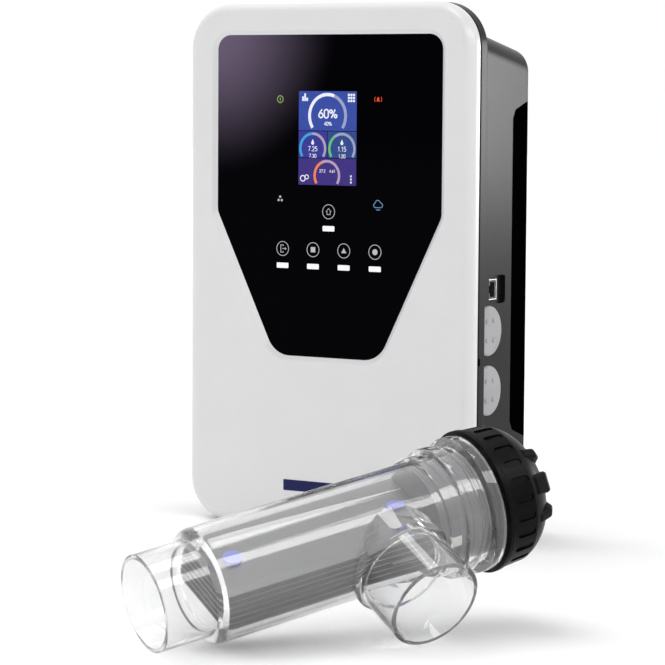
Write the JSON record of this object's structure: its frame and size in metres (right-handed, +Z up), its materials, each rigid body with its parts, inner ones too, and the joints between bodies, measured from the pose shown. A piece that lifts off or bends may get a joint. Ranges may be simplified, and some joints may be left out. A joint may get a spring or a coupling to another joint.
{
  "type": "salt chlorine generator",
  "caption": "Wall-type pool chlorinator control unit with a touch window, beside its clear electrolysis cell with an angled branch and a union nut.",
  "frame": {"origin": "on the floor, at the middle of the control unit's base", "axes": "+Z up, +Y towards the unit's back (the wall face), the window faces -Y"},
  "size_m": [0.4773, 0.6052, 0.416],
  "materials": {
    "cover_white": "satin gloss moulded plastic",
    "housing_black": "fine satin moulded plastic",
    "gloss_black": "polished",
    "lens_black": "polished, dark tinted",
    "display_glass": "lit display",
    "light_white": "lit light guide",
    "badge_blue": "gloss",
    "grommet_grey": "matt elastomer",
    "seal_rubber": "matt",
    "nickel_steel": "nickel plated",
    "screw_steel": "stainless",
    "gold_contact": "gold plated",
    "socket_black": "matt",
    "board_green": "solder mask",
    "nylon_white": "natural nylon",
    "core_iron": "varnished laminations",
    "coil_copper": "enamelled copper and tape",
    "heatsink_aluminium": "extruded",
    "capacitor_sleeve": "shrink sleeve",
    "relay_blue": "moulded",
    "terminal_green": "moulded",
    "clear_acrylic": "clear, polished",
    "titanium": "coated titanium",
    "spacer_blue": "moulded",
    "head_grey": "moulded",
    "slip_grey": "acetal",
    "nut_black": "satin moulded plastic"
  },
  "bodies": {
    "base": {"housing_rim": "housing_black", "housing_walls": "housing_black", "housing_back": "housing_black", "side_trim_right": "gloss_black", "side_trim_left": "gloss_black", "upper_cable_grommet": "grommet_grey", "lower_cable_grommet": "grommet_grey", "jack_shield": "nickel_steel", "jack_insert": "socket_black", "jack_contacts": "gold_contact", "wall_bracket": "housing_black", "wall_bracket_screws": "screw_steel", "cover_gasket": "seal_rubber", "power_board": "board_green", "board_spacers": "nylon_white", "board_screws": "screw_steel", "transformer_core": "core_iron", "transformer_coil": "coil_copper", "heatsink": "heatsink_aluminium", "power_transistors": "socket_black", "filter_capacitors": "capacitor_sleeve", "relays": "relay_blue", "terminal_block": "terminal_green", "terminal_screws": "screw_steel", "fuse_holder": "socket_black"},
    "cover": {"front_cover": "cover_white", "window_lens": "lens_black", "display_module": "nickel_steel", "display_glass": "display_glass", "key_light_bars": "light_white", "control_board": "board_green", "control_board_connector": "nylon_white", "front_badge": "badge_blue"},
    "cell": {"cell_tube": "clear_acrylic", "inlet_stub": "clear_acrylic", "side_branch": "clear_acrylic", "union_collar": "clear_acrylic"},
    "electrode": {"electrode_head": "head_grey", "head_flange": "head_grey", "locating_key": "nylon_white", "head_o_rings": "seal_rubber", "electrode_plates": "titanium", "plate_spacers": "spacer_blue", "terminal_studs": "titanium", "terminal_nuts": "screw_steel", "flow_sensor_pin": "titanium"},
    "nut_carrier": {"slip_ring": "slip_grey"},
    "nut": {"union_nut": "nut_black"}
  },
  "joints": [
    {"name": "cover_pull", "type": "slide", "parent": "base", "child": "cover", "axis": [0, -1, 0], "range_m": [0, 0.06]},
    {"name": "cell_slide", "type": "slide", "parent": "base", "child": "cell", "axis": [0, -1, 0], "range_m": [0, 0.15]},
    {"name": "electrode_withdraw", "type": "slide", "parent": "cell", "child": "electrode", "axis": [0.4732, 0.8573, 0.2028], "range_m": [0, 0.2]},
    {"name": "nut_travel", "type": "slide", "parent": "electrode", "child": "nut_carrier", "axis": [0.4732, 0.8573, 0.2028], "range_m": [0, 0.0101]},
    {"name": "nut_turn", "type": "hinge", "parent": "nut_carrier", "child": "nut", "pos_m": [0.29594, -0.32897, 0.08083], "axis": [0.4732, 0.8573, 0.2028], "range_deg": [0, 900]}
  ],
  "couplings": [
    {"joint": "nut_travel", "follows": "nut_turn", "m_per_rad": 0.00063662}
  ]
}
